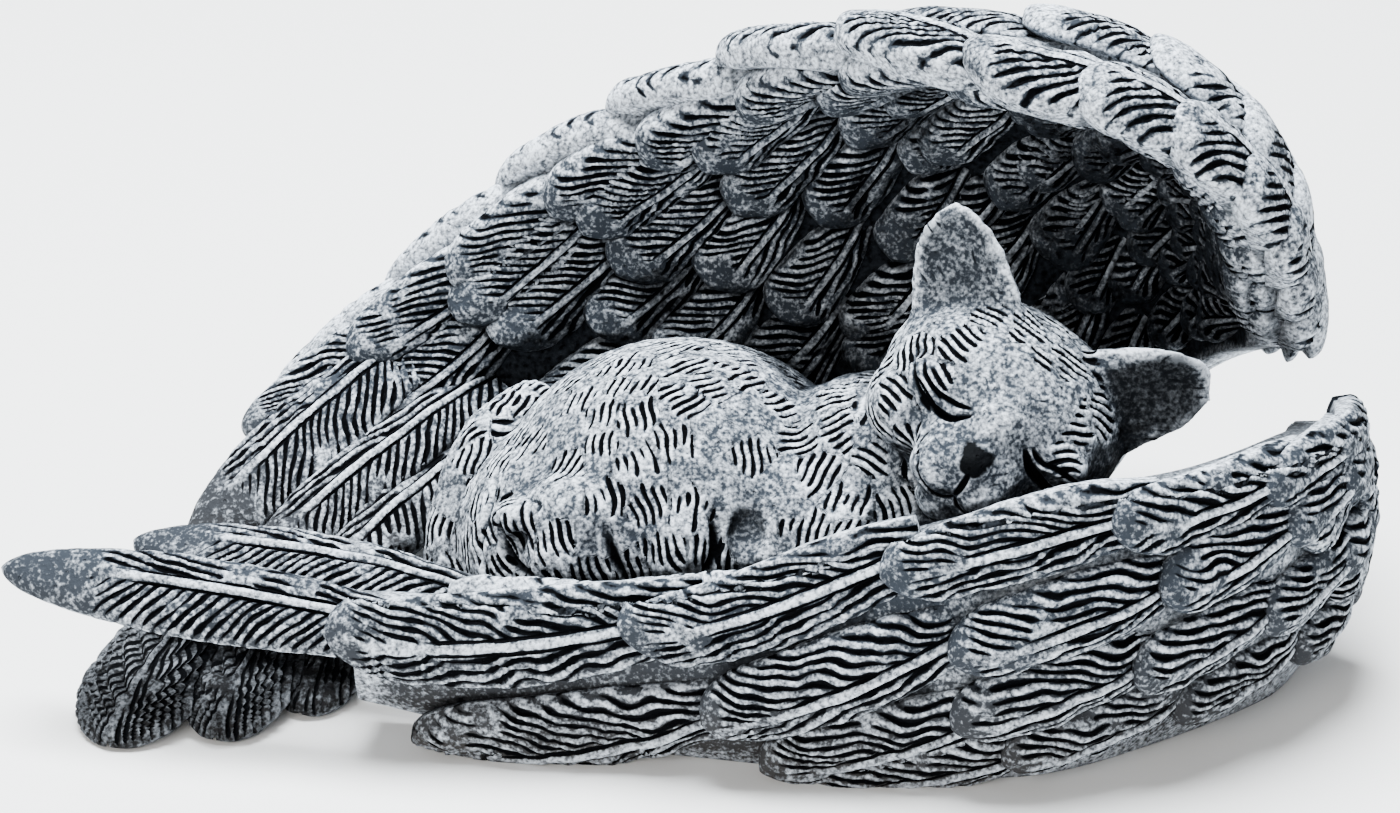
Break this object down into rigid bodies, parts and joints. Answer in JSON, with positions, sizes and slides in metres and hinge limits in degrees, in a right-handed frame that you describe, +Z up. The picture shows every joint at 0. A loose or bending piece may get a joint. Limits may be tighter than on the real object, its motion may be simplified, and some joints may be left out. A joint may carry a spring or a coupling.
{
  "type": "pet memorial statue",
  "caption": "Cast memorial ornament of a kitten curled asleep in a nest of angel wings, one low and one arched over it as a hood.",
  "frame": {"origin": "middle of the outline's box on the ground", "axes": "+X from the wing tips to the shoulders, +Y from the low wing to the tall wing, +Z up"},
  "size_m": [0.2501, 0.1267, 0.119],
  "materials": {
    "cast_stone": "matte cold-cast resin and stone powder, pale grey on the high carving, near black in the grooves"
  },
  "bodies": {
    "root": {"statue": "cast_stone"}
  },
  "joints": []
}
